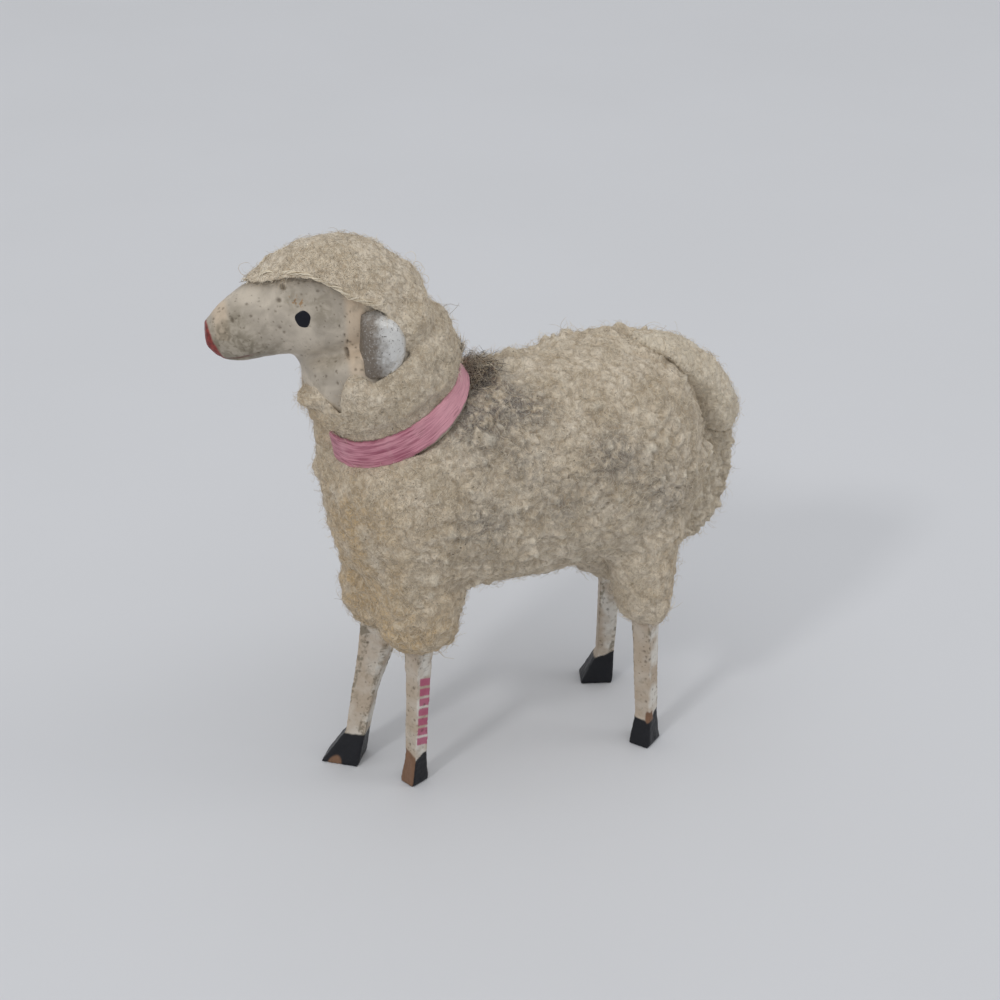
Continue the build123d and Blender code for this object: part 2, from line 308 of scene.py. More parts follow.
class Shading:
    """A material whose nodes are added one by one, with coordinates in millimetres."""

    def __init__(self, name, roughness, specular=0.3, sheen=0.0):
        self.material = bpy.data.materials.new(name)
        self.material.use_nodes = True
        self.tree = self.material.node_tree
        self.shader = self.tree.nodes["Principled BSDF"]
        self.shader.inputs["Roughness"].default_value = roughness
        self.shader.inputs["Specular IOR Level"].default_value = specular
        self.shader.inputs["Sheen Weight"].default_value = sheen
        coordinates = self.tree.nodes.new("ShaderNodeTexCoord")
        self.place = self.scaled(coordinates.outputs["Object"], (1 / MM,) * 3)

    def link(self, value, socket):
        """Feeds a socket from another one or sets it."""
        if isinstance(value, bpy.types.NodeSocket):
            self.tree.links.new(value, socket)
        else:
            socket.default_value = value

    def scaled(self, vector, scale):
        """Coordinates multiplied by a scale along each axis."""
        node = self.tree.nodes.new("ShaderNodeVectorMath")
        node.operation = "MULTIPLY"
        self.link(vector, node.inputs[0])
        node.inputs[1].default_value = scale
        return node.outputs[0]

    def noise(self, size, detail=2.0, distortion=0.0, place=None):
        """Noise from 0 to 1 with lumps of a size."""
        node = self.tree.nodes.new("ShaderNodeTexNoise")
        self.link(place or self.place, node.inputs["Vector"])
        node.inputs["Scale"].default_value = 1 / size
        node.inputs["Detail"].default_value = detail
        node.inputs["Distortion"].default_value = distortion
        return node.outputs["Fac"]

    def math(self, operation, first, second):
        """One step of arithmetic."""
        node = self.tree.nodes.new("ShaderNodeMath")
        node.operation = operation
        for value, socket in zip((first, second), node.inputs):
            self.link(value, socket)
        return node.outputs[0]

    def ramp(self, value, low, high, start=0.0, end=1.0):
        """Maps a value between low and high softly to start and end."""
        node = self.tree.nodes.new("ShaderNodeMapRange")
        node.interpolation_type = "SMOOTHSTEP"
        names = ("Value", "From Min", "From Max", "To Min", "To Max")
        for name, given in zip(names, (value, low, high, start, end)):
            self.link(given, node.inputs[name])
        return node.outputs[0]

    def patches(self, low, high, size, detail=2.0, distortion=0.0):
        """Soft-edged patches: 0 where a noise is low and 1 where it is high."""
        return self.ramp(self.noise(size, detail, distortion), low, high)

    def layer(self, name):
        """A value kept on the mesh's points."""
        node = self.tree.nodes.new("ShaderNodeAttribute")
        node.attribute_name = name
        return node.outputs["Fac"]

    def mix(self, share, first, second):
        """A colour between two colours."""
        node = self.tree.nodes.new("ShaderNodeMix")
        node.data_type = "RGBA"
        self.link(share, node.inputs[0])
        self.link(first, node.inputs[6])
        self.link(second, node.inputs[7])
        return node.outputs[2]

    def over(self, colour, paint, amount, share):
        """A colour with another laid over it, by an amount where a share is 1."""
        return self.mix(self.math("MULTIPLY", share, amount), colour, paint)

    def threads(self, size, lines, sharp, place=None):
        """Thin curling lines, like matted fibres seen from above."""
        field = self.noise(size, 1.0, 0.8, place)
        wave = self.math("PINGPONG", self.math("MULTIPLY", field, lines), 0.5)
        return self.ramp(wave, sharp, 0.0)

    def bump(self, height, distance, strength=1.0):
        """Adds a fine relief to the shader, on top of any before it."""
        node = self.tree.nodes.new("ShaderNodeBump")
        node.inputs["Distance"].default_value = distance * MM
        node.inputs["Strength"].default_value = strength
        self.link(height, node.inputs["Height"])
        before = self.shader.inputs["Normal"].links
        if before:
            self.link(before[0].from_socket, node.inputs["Normal"])
        self.link(node.outputs[0], self.shader.inputs["Normal"])

    def finish(self, colour, roughness=None):
        """Sets the colour and gives back the material."""
        self.link(colour, self.shader.inputs["Base Color"])
        if roughness is not None:
            self.link(roughness, self.shader.inputs["Roughness"])
        return self.material


WOOL_CREAM = linear(222, 208, 187)
WOOL_BEIGE = linear(197, 181, 157)
WOOL_BROWN_AND_SHADE = linear(158, 139, 114)
WOOL_GREY = linear(116, 107, 99)
WOOL_YELLOW = linear(194, 166, 124)
WOOL_PALE_AND_HIGHLIGHT = linear(238, 228, 208)
STAIN_BLACK = linear(52, 46, 44)
STAIN_BROWN = linear(120, 86, 58)


def wool_material():
    """Old lamb's wool: matted cream fibres over beige, with grey dirt and yellowed places, painted shade in
    the creases between tufts and painted highlights on the tips of knobs.
    """
    wool = Shading("old_wool", roughness=0.95, specular=0.12, sheen=0.2)
    wool.shader.inputs["Sheen Roughness"].default_value = 0.6
    colour = wool.mix(wool.patches(0.35, 0.65, 4.0, 4.0, 0.5), WOOL_BEIGE, WOOL_CREAM)
    yellow = wool.math("MULTIPLY", wool.layer("yellow"), wool.patches(0.25, 0.6, 3.0))
    colour = wool.over(colour, WOOL_YELLOW, 0.95, yellow)
    # Painted shade: the creases between tufts, where the tuft layer is low, are darkened towards brown.
    colour = wool.over(colour, WOOL_BROWN_AND_SHADE, 0.5, wool.ramp(wool.layer("tuft"), 0.5, 0.0))
    colour = wool.over(colour, WOOL_GREY, wool.patches(0.3, 0.6, 1.3, 4.0, 1.0), wool.layer("dirt"))
    # Painted highlight: the tips of knobs are made paler. On the tail and the rump flap the same layer makes
    # the whole piece evenly paler.
    colour = wool.over(colour, WOOL_PALE_AND_HIGHLIGHT, 0.5, wool.ramp(wool.layer("knob"), 0.25, 0.9))
    fine = wool.threads(0.8, 5.0, 0.22)
    broad = wool.threads(1.7, 7.0, 0.25, wool.scaled(wool.place, (1.0, 1.3, 0.8)))
    fibres = wool.math("MAXIMUM", fine, wool.math("MULTIPLY", broad, 0.8))
    colour = wool.over(colour, WOOL_PALE_AND_HIGHLIGHT, 0.34, fibres)
    colour = wool.over(colour, WOOL_BROWN_AND_SHADE, 0.45, wool.patches(0.42, 0.3, 0.35, 2.0, 1.0))
    colour = wool.over(colour, STAIN_BLACK, 0.75, wool.patches(0.75, 0.79, 0.42, 1.0))
    stained = wool.mix(wool.patches(0.36, 0.5, 1.1, 4.0, 0.8), STAIN_BROWN, STAIN_BLACK)
    colour = wool.over(colour, stained, wool.patches(0.3, 0.55, 0.9, 4.0, 0.6), wool.layer("stain"))
    wool.bump(fibres, 0.07)
    wool.bump(wool.noise(0.3, 3.0, 1.0), 0.20, 0.7)
    return wool.finish(colour)


# Colours of loose fibre, from clean to black, and how often each grows in some kinds of wool
FIBRE_COLOURS = {
    "cream": (234, 222, 200),
    "beige": (212, 196, 170),
    "fawn": (190, 170, 140),
    "grey": (156, 146, 133),
    "dark": (58, 50, 46),
}
FIBRE_SHARES = (0.42, 0.36, 0.16, 0.06, 0.0)
STAIN_SHARES = (0.22, 0.08, 0.08, 0.12, 0.50)
DIRT_SHARES = (0.12, 0.16, 0.24, 0.40, 0.08)
YELLOW_SHARES = (0.0, 0.25, 0.75, 0.0, 0.0)
YARN_SHARES = (0.75, 0.25, 0.0, 0.0, 0.0)
STRAY_SHARES = (0.2, 0.2, 0.3, 0.3)

wool = wool_material()
fibre_materials = [
    Shading(f"fibre_{name}", roughness=0.8, specular=0.2, sheen=0.2).finish(linear(*colour))
    for name, colour in FIBRE_COLOURS.items()
]


# Wool


def tufts(points, size, shift=0.0):
    """Rounded knobs of wool, 0 in the creases between them and 1 at their tips."""
    bent = points + perlin_vectors(points, size * 1.6, shift) * size * 0.45
    near, second, _ = cells(bent, size, shift)
    crease = smoothstep(0.0, 0.42, second - near)
    dome = 1 - np.clip(near / 0.85, 0, 1) ** 2
    return crease * (0.35 + 0.65 * dome)


def knobs(points, size, share=0.5):
    """Separate small knobs of wool, 0 between them and 1 at their tips."""
    bent = points + perlin_vectors(points, size * 1.3, 51.0) * size * 0.35
    near, _, number = cells(bent, size, 13.0)
    radius = 0.28 + 0.20 * number
    return np.where(number > 1 - share, 1 - smoothstep(0.15, 1.0, near / radius), 0)


# Grey dirt, yellowed wool and the stain on the nape: place, radius and strength
WOOL_SPOTS = {
    "dirt": (
        (7, -5, 50, 4.0, 1.0),
        (6.5, 0, 52.8, 3.2, 1.0),
        (4.5, -3.5, 54.5, 2.6, 1.0),
        (8, 3, 51.5, 2.2, 0.7),
        (10.5, 0, 46, 3.0, 0.6),
        (12, 11, 45.5, 3.6, 0.9),
        (12, 4, 41, 3.0, 0.6),
        (11.5, -6, 40, 3.2, 0.8),
        (12, 16, 41, 2.6, 0.5),
        (-10, 4, 44, 6.0, 0.7),
        (-11, 12, 38, 5.0, 0.5),
        (0, -2, 54, 3.5, 0.9),
        (11, 19, 38, 3.0, 0.5),
        (8, -10, 53, 2.5, 0.5),
    ),
    "yellow": (
        (4, -20, 38, 9.0, 1.0),
        (6, -13, 24, 8.0, 1.0),
        (-6, -14, 26, 8.0, 1.0),
        (0, -22, 54, 5.0, 0.8),
        (0, 24, 50, 6.0, 0.4),
        (9, 22, 24, 5.0, 0.6),
    ),
    "stain": (
        (0.5, -2.4, 54.0, 1.9, 1.2),
        (3.0, -3.0, 54.2, 1.3, 0.9),
        (1.0, -2.0, 55.6, 2.0, 1.2),
        (2.6, -4.4, 57.6, 1.5, 0.9),
        (0.5, -3.6, 58.5, 1.4, 0.8),
        (-2.0, -1.4, 54.0, 1.6, 0.8),
    ),
}


def woolly(points, quads, clear, tuft_size, tuft_height, lump_height, knob_height):
    """Points raised into tufts, with their layers. Clear is 0 where the wool meets other pieces."""
    tuft = 0.6 * tufts(points, tuft_size) + 0.4 * tufts(points, tuft_size * 0.55, 31.7)
    knob = np.maximum(knobs(points, 1.9), knobs(points, 3.0))
    knob *= np.clip(0.75 + 0.9 * perlin(points, 6.0, 21.0), 0, 1)
    patch = 0.8 + 0.5 * perlin(points, 6.0, 5.1)
    height = tuft_height * (tuft - 0.35) * patch
    height += lump_height * (0.65 * perlin(points, 3.1, 2.3) + 0.5 * perlin(points, 1.5, 6.3))
    height += knob_height * knob
    height += 0.09 * perlin(points, 0.5, 9.9)
    raised = points + point_normals(points, quads) * (height * clear)[:, None]
    # The tuft layer drives painted shade in the creases; the knob layer drives a painted highlight on knob
    # tips.
    layers = {"tuft": tuft, "knob": knob * np.clip(knob_height / 0.5, 0, 1)}
    layers["clear"] = np.broadcast_to(clear, len(points)).copy()
    for layer, spots in WOOL_SPOTS.items():
        layers[layer] = spread(points, spots)
    return raised, layers


def to_front(angle):
    """1 at the front of the neck, 0 from its sides back."""
    return np.clip(-np.sin(angle), 0, 1)


def ribbon_flare(angle):
    """How much the ribbon leans out towards its lower edge: most at the front of the neck."""
    return 0.12 + 0.28 * to_front(angle) ** 0.8


def ribbon_rise(angle):
    """How far the ribbon's middle lies up the neck: most at the front."""
    return 0.7 + 0.65 * to_front(angle)


def ribbon_half(angle):
    """Half the ribbon's width: it is pulled narrow at the back of the neck."""
    return RIBBON_WIDTH / 2 * (0.95 - 0.25 * smoothstep(0.1, 0.95, np.sin(angle)))


def ribbon_cover(angle):
    """Where the wool hides the ribbon: 1 a little right of the neck's front and 0 round the rest."""
    middle, reach = -25, 28
    turn = np.degrees(np.arctan2(np.cos(angle), -np.sin(angle)))
    return 1 - smoothstep(0.5, 1.0, np.abs(turn - middle) / reach)


def neck_place(points):
    """Rise above the collar, angle round it, distance from its middle, its edge there and the way out."""
    away = points - collar_middle
    across, back = away @ X_AXIS, away @ neck_side
    size = np.maximum(np.hypot(across, back), 1e-6)
    angle = np.arctan2(back / COLLAR_HALF_DEPTH, across / COLLAR_HALF_WIDTH)
    edge = np.hypot(np.cos(angle) * COLLAR_HALF_WIDTH, np.sin(angle) * COLLAR_HALF_DEPTH)
    outward = (across / size)[:, None] * X_AXIS + (back / size)[:, None] * neck_side
    return away @ neck_axis, angle, size, edge, outward


def cinched(points):
    """Points near the ribbon drawn in under it, so that the wool bulges above and below."""
    neck_reach = 14
    rise, angle, size, edge, outward = neck_place(points)
    rise = (rise - ribbon_rise(angle)) * RIBBON_WIDTH / 2 / ribbon_half(angle)
    limit = edge - 0.12 - np.clip(rise, -3, 3) * ribbon_flare(angle)
    near = smoothstep(4.0, 2.2, rise) * smoothstep(-2.0, -1.3, rise)
    near = near * (size < neck_reach) * (1 - ribbon_cover(angle))
    pull = np.clip(size - limit, 0, None) * near
    return points - pull[:, None] * outward


def over_ribbon(points):
    """The front of the neck wool puffed out over the ribbon, down to the wool of the chest."""
    tuft_angle, tuft_rise = -0.78, 3.0
    rise, angle, size, edge, outward = neck_place(points)
    skin = smoothstep(edge - 1.8, edge - 0.5, size) * ribbon_cover(angle)
    puff = 1.0 * skin * smoothstep(4.5, 1.5, rise)
    hang = 1.5 * skin * smoothstep(0.6, -1.2, rise)
    tuft = 1 - smoothstep(0.2, 1.0, np.hypot((angle - tuft_angle) / 0.10, (rise - tuft_rise) / 1.0))
    tuft *= size > edge - 0.5
    return points + outward * (puff + 0.55 * tuft)[:, None] - neck_axis * (hang + 1.5 * tuft)[:, None]


def at_nape(points):
    """The hood's back drawn in below the crown and puffed out just above the ribbon."""
    hollow_rise, puff_rise = 14.5, 3.4
    rise, angle, size, _, outward = neck_place(points)
    behind = smoothstep(0.35, 0.95, np.sin(angle)) * (size > 4)
    change = 1.1 * bell(rise, puff_rise, 1.6) - 1.0 * bell(rise, hollow_rise, 2.8)
    return points + outward * (change * behind)[:, None]


def open_throat(points):
    """The top of the neck wool lowered at the front, so that the throat shows."""
    rise, angle, _, _, outward = neck_place(points)
    front = smoothstep(0.3, 0.9, -np.sin(angle)) * smoothstep(66.0, 63.0, points[:, 2])
    lowered = 1.9 * front * smoothstep(4.0, 9.0, rise)
    fuller = 1.0 * front * ribbon_cover(angle) * smoothstep(5.0, 1.5, np.abs(rise))
    return points - neck_axis * lowered[:, None] + outward * fuller[:, None]


def wool_piece(name, nodes, tuft_size, tuft_height, lump_height, fuller, shift, pale):
    """A roll or an edge of fleece in place of one CAD node, made fuller, moved a little and paler."""
    points, quads = voxel_skin(nodes, 0.18)
    points = relax(points, quads, 6)
    points = points + fuller * point_normals(points, quads) + np.array(shift)
    points, layers = woolly(points, quads, 1.0, tuft_size, tuft_height, lump_height, 0.0)
    # The knob layer, a painted highlight on knob tips elsewhere, here makes the whole piece evenly paler.
    layers["knob"] = np.full(len(points), pale)
    piece = make_piece(name, points, quads, [wool], layers)
    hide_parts(*nodes)
    return piece


# Wool under the left ear and the tuft under the chin: middle and half sizes
HOOD_LUMPS = (
    ((5.7, -18.5, 57.0), (1.8, 2.7, 3.0)),
    ((1.4, -22.5, 56.9), (2.4, 2.6, 1.5)),
)
# Where the cap is raised, over the brow and at the back of the crown: place, reach and height
CROWN_SPOTS = ((-1, -21, 73, 4, 0.6), (0, -10.5, 71, 3, 0.8))


def make_hood():
    """The wool of the neck and the felted cap, as one skin."""
    points, quads = voxel_skin(["wool_neck", "wool_cap"], 0.24, HOOD_LUMPS)
    points = relax(points, quads, 6)
    clear = smoothstep(0.15, 1.0, distance_to(("head", "collar", "ear_left", "ear_right"), points))
    crown = smoothstep(62.0, 66.0, points[:, 2])
    points, layers = woolly(points, quads, clear, 1.6, 0.22 - 0.14 * crown, 0.5 - 0.1 * crown, 0.0)
    points = open_throat(at_nape(over_ribbon(cinched(points))))
    points = points + Z_AXIS * spread(points, CROWN_SPOTS)[:, None]
    hood = make_piece("hood", points, quads, [wool], layers)
    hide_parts("wool_neck", "wool_cap")
    return hood


LEG_NODES = [f"leg_{name}" for name in LEG_NAMES]
FLEECE_NODES = ["wool_body", *[f"wool_leg_{name}" for name in LEG_NAMES]]

# Wool that joins the leg tops to one mass, hangs behind the chest and stands at the nape:
# middles and half sizes
FLEECE_LUMPS = (
    ((0.0, -13.0, 25.0), (4.0, 3.6, 4.6)),
    ((-2.0, -14.5, 22.5), (3.2, 2.6, 3.2)),
    ((3.0, -12.4, 24.0), (3.0, 2.5, 3.6)),
    ((-6.9, 19.6, 22.0), (3.9, 3.8, 5.2)),
    ((-4.6, 16.6, 24.4), (4.2, 4.2, 4.6)),
    ((7.4, 18.3, 22.0), (3.9, 4.0, 3.4)),
    ((0.4, -1.6, 53.6), (2.6, 2.2, 1.8)),
)


def tucked_legs(points):
    """The leg wool drawn in behind the legs, and its lower edge raised at the front."""
    low = smoothstep(33, 29, points[:, 2])
    front = points[:, 1] < 0
    tuck = 1.1 * smoothstep(18.5, 22.5, points[:, 1]) * low
    tuck += 0.3 * smoothstep(-9.0, -6.0, points[:, 1]) * front * low
    raised = 0.9 * smoothstep(23.5, 20.5, points[:, 2]) * front
    back = tuck * smoothstep(1.0, 3.0, np.abs(points[:, 1]))
    return points + np.stack([np.zeros(len(points)), -back, raised], 1)


def make_fleece():
    """The fleece of the body and the tops of the legs, as one skin."""
    points, quads = voxel_skin([*FLEECE_NODES, "body_core"], 0.3, FLEECE_LUMPS)
    points = relax(points, quads, 16)
    seam = smoothstep(28.5, 31, points[:, 2]) * smoothstep(37, 34.5, points[:, 2])
    points = relax(points, quads, 60, seam)
    clear = smoothstep(0.1, 1.0, distance_to([*LEG_NODES, "collar"], points))
    up = point_normals(points, quads)[:, 2]
    flank = smoothstep(-17, -9, points[:, 1]) * smoothstep(27, 34, points[:, 2])
    back = smoothstep(0.3, 0.9, up) * smoothstep(-6, -2, points[:, 1])
    belly = smoothstep(-0.3, -0.9, up) * smoothstep(24.5, 25.5, points[:, 2])
    knob_height = 0.2 + 0.6 * flank + 0.2 * back
    points, layers = woolly(points, quads, clear, 1.8, 0.28 + 0.3 * flank, 0.6, knob_height)
    crest = 1 + 1.4 * bell(points[:, 1], 14, 5)
    points = points + Z_AXIS * (0.35 * (back * crest + belly) * clear)[:, None]
    points = tucked_legs(open_throat(cinched(points)))
    fleece = make_piece("fleece", points, quads, [wool], layers)
    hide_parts(*FLEECE_NODES)
    return fleece


# Loose fibres


def fibre_roots(rng, piece, count, where):
    """Random places on a piece's skin, likelier where a layer is strong: quads, places and ways out."""
    points, quads = piece_mesh(piece)
    area = np.linalg.norm(quad_crosses(points, quads), axis=1)
    chance = area * np.clip(piece_layer(piece, where)[quads].mean(1) - 0.25, 0, 1)
    chosen = quads[rng.choice(len(quads), count, p=chance / chance.sum())]
    weights = rng.dirichlet((1, 1, 1, 1), count)[:, :, None]
    roots = (points[chosen] * weights).sum(1)
    return chosen, roots, unit((point_normals(points, quads)[chosen] * weights).sum(1))


def fibres(name, piece, count, length, stand, curl, seed, where="clear", shares=FIBRE_SHARES, radius=0.017):
    """Loose curling threads rooted on a piece of fleece.

    Length, stand away from the skin and radius are millimetres, curl is the total turn in
    radians, where names the layer they grow on and shares says how often each colour grows.
    """
    segments = 5
    rng = np.random.default_rng(seed)
    chosen, roots, out = fibre_roots(rng, piece, count, where)
    swirl = perlin_vectors(roots, 3.0, 17.0) + 0.8 * rng.normal(size=(count, 3))
    side = unit(np.cross(out, swirl))
    ahead = np.cross(side, out)
    reach = length * rng.uniform(0.55, 1.45, count)
    lift = stand * rng.gamma(1.6, 0.6, count)
    turn = curl * rng.choice((-1, 1), count) * rng.uniform(0.5, 1.3, count)
    steps = np.linspace(0, 1, segments + 1)
    middles = (steps[1:] + steps[:-1]) / 2
    heading = (turn[:, None] * middles + rng.uniform(-0.3, 0.3, (count, segments)).cumsum(1))[:, :, None]
    headings = np.cos(heading) * ahead[:, None] + np.sin(heading) * side[:, None]
    moves = reach[:, None, None] / segments * headings
    path = np.concatenate([roots[:, None], roots[:, None] + moves.cumsum(1)], 1)
    rise = np.sin(steps * rng.uniform(1.4, 3.0, count)[:, None]) * lift[:, None] - 0.12
    path += out[:, None] * rise[:, :, None]
    colours = rng.choice(5, count, p=shares)
    for layer, chance, layer_shares in (("yellow", 0.85, YELLOW_SHARES), ("dirt", 0.75, DIRT_SHARES)):
        strength = piece_layer(piece, layer)[chosen].mean(1)
        changed = rng.random(count) < chance * strength
        colours = np.where(changed, rng.choice(5, count, p=layer_shares), colours)
    return thread_piece(name, path, radius, out, colours)


def thread_piece(name, path, radius, reference, colours):
    """Three-sided threads along paths, pointed at both ends, in the fibre colours."""
    count, places, _ = path.shape
    along = unit(np.gradient(path, axis=1))
    first = unit(np.cross(along, reference[:, None] + 0.37))
    second = np.cross(along, first)
    thick = radius * np.linspace(1.0, 0.6, places)[None, :, None]
    angles = [2 * math.pi * corner / 3 for corner in range(3)]
    rings = [path + thick * (math.cos(angle) * first + math.sin(angle) * second) for angle in angles]
    inner = np.stack(rings, 2)[:, 1:-1].reshape(count, -1, 3)
    points = np.concatenate([path[:, :1], inner, path[:, -1:]], 1)
    faces = []
    for corner in range(3):
        after = (corner + 1) % 3
        faces.append((0, 1 + after, 1 + corner))
        for ring in range(places - 3):
            low, high = 1 + ring * 3, 4 + ring * 3
            faces.append((low + corner, low + after, high + after))
            faces.append((low + corner, high + after, high + corner))
        last = 1 + (places - 3) * 3
        faces.append((last + corner, last + after, last + 3))
    triangles = (np.array(faces)[None] + np.arange(count)[:, None, None] * points.shape[1]).reshape(-1, 3)
    piece = make_piece(name, points.reshape(-1, 3), triangles, fibre_materials)
    piece.data.polygons.foreach_set("material_index", np.repeat(colours, len(faces)).astype(np.int32))
    return piece


fleece = make_fleece()
hood = make_hood()
# Tuft size and height, lump height, how much fuller, shift and how pale
tail = wool_piece("tail_fleece", ["tail"], 1.3, 0.2, 0.4, 0.3, (0.8, -0.5, 0.5), 0.8)
flap = wool_piece("rump_fleece", ["rump_flap"], 1.3, 0.7, 0.7, 0.0, (0.4, -0.5, -0.1), 0.6)

# Count, length, stand, curl and seed
fibres("fleece_fibres_a", fleece, 8200, 1.5, 0.30, 3.0, 11)
fibres("fleece_fibres_b", fleece, 8200, 1.1, 0.26, 4.0, 12)
fibres("fleece_fibres_c", fleece, 8200, 2.1, 0.16, 2.2, 13, radius=0.021)
fibres("hood_fibres", hood, 7500, 1.6, 0.16, 1.8, 21)
fibres("tail_fibres", tail, 2200, 1.5, 0.24, 2.6, 31)
fibres("rump_fibres", flap, 2200, 1.5, 0.32, 2.6, 32)
fibres("nape_fibres_low", fleece, 900, 2.4, 0.18, 1.8, 51, "stain", STAIN_SHARES, 0.028)
fibres("nape_fibres_high", hood, 420, 2.2, 0.18, 1.6, 52, "stain", STAIN_SHARES, 0.028)


# Head, ears and eyes

GESSO = linear(201, 190, 174)
GESSO_GREY = linear(172, 162, 148)
GESSO_CREAM = linear(210, 189, 164)
GRIME_AND_SHADE = linear(122, 113, 96)
PIT_BROWN = linear(84, 72, 56)
RUST = linear(150, 108, 56)
NOSE_RED = linear(142, 56, 50)
NOSE_DARK = linear(104, 44, 40)
LIP_BROWN = linear(104, 66, 58)
SILVER_WITH_HIGHLIGHT = linear(214, 213, 210)
SILVER_DARK = linear(122, 112, 101)
SILVER_CHIP = linear(66, 58, 50)
EYE_BLACK = linear(16, 17, 24)
EYE_SHEEN = linear(26, 28, 38)

NOSE_FORWARD = 21.1
MOUTH_HEIGHT = 60.25
EYE_FORWARD = 10.78
EYE_HEIGHT = 65.7
EYE_HALF_LENGTH = 0.88
EYE_HALF_HEIGHT = 1.06
EAR_FORWARD = 1.6
EAR_HEIGHT = 62.9
EAR_REACH = 4.5


def head_place(points):
    """Distance forward, to the left and up in the head's own directions."""
    away = points - head_middle
    return away @ head_forward, away @ head_left, points[:, 2]


def head_point(forward, left, height):
    """A point of space from its place in the head's own directions."""
    point = head_middle + head_forward * forward + head_left * left
    return np.array((point[0], point[1], height))


def dent(forward, left, height, place, radii):
    """A soft oval on the left side of the head, 1 in its middle and 0 outside."""
    away = ((forward - place[0]) / radii[0]) ** 2 + ((height - place[1]) / radii[1]) ** 2
    return np.where(left > 0.5, 1 - smoothstep(0.35, 1.0, np.sqrt(away)), 0)


def band(values, middle, half_width):
    """A soft band, 1 in its middle."""
    return 1 - smoothstep(0.4, 1.0, np.abs(values - middle) / half_width)


def pits(points, size, share, patch, shift=0.0):
    """Small round holes in old paint, 1 in each hole, crowded where the patch is strong."""
    near, _, number = cells(points, size, shift)
    radius = 0.10 + 0.30 * number**2
    open_here = number > 1 - share * (0.35 + patch)
    return np.where(open_here, 1 - smoothstep(0.5, 1.0, near / radius), 0)


# Marks on the left of the face: forward, height, half width, half height and depth
FACE_DENTS = (
    (12.6, 69.0, 0.42, 0.42, 0.20),
    (13.2, 67.7, 0.34, 0.34, 0.14),
    (6.1, 61.4, 0.26, 0.56, 0.30),
    (6.0, 62.7, 0.12, 0.45, 0.16),
    (6.35, 63.7, 0.11, 0.42, 0.16),
    (6.9, 64.9, 0.16, 0.24, 0.16),
    (6.2, 66.0, 0.14, 0.14, 0.14),
    (18.4, 65.4, 0.24, 0.40, 0.10),
)

# Grimy smudges on the face and painted shade under the muzzle: forward, left, height, radius and strength
FACE_GRIME_AND_SHADE = (
    (19.3, 2.2, 63.6, 1.6, 1.0),
    (19.0, 1.6, 61.2, 1.8, 1.0),
    (18.0, 3.0, 62.0, 2.2, 1.0),
    (16.2, 3.4, 60.6, 2.6, 1.0),
    (13.0, 4.0, 59.5, 2.2, 0.6),
    (17.6, 2.4, 65.6, 1.2, 0.7),
    (11.6, 4.2, 67.9, 1.3, 0.7),
    (8.7, 5.0, 66.9, 1.5, 0.7),
    (7.0, 5.4, 65.2, 0.9, 0.5),
    (8.0, 4.6, 60.0, 1.6, 0.4),
    (17.6, -3.0, 62.0, 2.0, 0.9),
    (9.0, -5.0, 66.5, 2.0, 0.6),
)
# The fillet between jaw and throat: middle, in the head's directions, and half sizes
JAW_MIDDLE = (9.3, 0, 59.9)
JAW_HALF_SIZES = (2.4, 2.4, 2.0)


def mouth_line(forward, left, height):
    """A thin groove from the nose back along each side of the muzzle."""
    line = MOUTH_HEIGHT + 0.035 * (21.0 - forward) ** 2
    along = smoothstep(16.0, 17.0, forward) * (np.abs(left) > 0.4)
    return along * (1 - smoothstep(0.08, 0.24, np.abs(height - line)))


def head_layers(points, forward, height, grime_and_shade):
    """The nose's red, the grimy smudges with painted shade under the muzzle, and the creamy places of the
    face.
    """
    down = np.clip(64.4 - height, 0, 6)
    red_edge = NOSE_FORWARD - 0.22 * down - 0.045 * down**2
    ragged = forward - red_edge + 0.12 * perlin(points, 0.9, 6.0)
    cream = band(forward, 5.0, 1.6) * smoothstep(58.0, 60.5, height)
    cream += 0.8 * band(forward, 19.6, 1.1) * (height > 63)
    return {"nose": smoothstep(-0.12, 0.12, ragged) * (height < 64.5), "grime_and_shade": grime_and_shade, "cream": cream}


def make_head():
    """The cast and painted head with its worn face."""
    points, quads = voxel_skin(["head"], 0.17, [(head_point(*JAW_MIDDLE), JAW_HALF_SIZES)])
    points = relax(points, quads, 8)
    forward, left, height = head_place(points)
    points = relax(points, quads, 90, smoothstep(64.0, 61.5, height) * smoothstep(14.0, 11.5, forward))
    forward, left, height = head_place(points)
    relief = 0.06 * perlin(points, 2.4, 3.0) + 0.025 * perlin(points, 0.7, 8.0)
    marks = np.zeros(len(points))
    for place_forward, place_height, wide, high, depth in FACE_DENTS:
        mark = dent(forward, left, height, (place_forward, place_height), (wide, high))
        relief -= depth * mark
        marks = np.maximum(marks, mark)
    spots = [(*head_point(*place), radius, strength) for *place, radius, strength in FACE_GRIME_AND_SHADE]
    # Grimy smudges, and painted shade on the low spots under the muzzle.
    grime_and_shade = spread(points, spots)
    patch = 0.25 + 0.5 * perlin(points, 4.0, 12.0) + 0.8 * grime_and_shade
    holes = np.maximum(pits(points, 0.62, 0.13, patch), pits(points, 0.36, 0.20, patch, 40.0))
    relief -= 0.06 * holes
    lip = mouth_line(forward, left, height)
    relief -= 0.12 * lip
    points = points + point_normals(points, quads) * relief[:, None]
    layers = head_layers(points, forward, height, grime_and_shade)
    layers |= {"holes": np.maximum(0.8 * holes, marks), "lip": lip}
    layers["rust"] = dent(forward, left, height, (11.4, 67.6), (1.5, 0.9))
    head = make_piece("painted_head", points, quads, [face_material()], layers)
    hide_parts("head")
    return points, quads


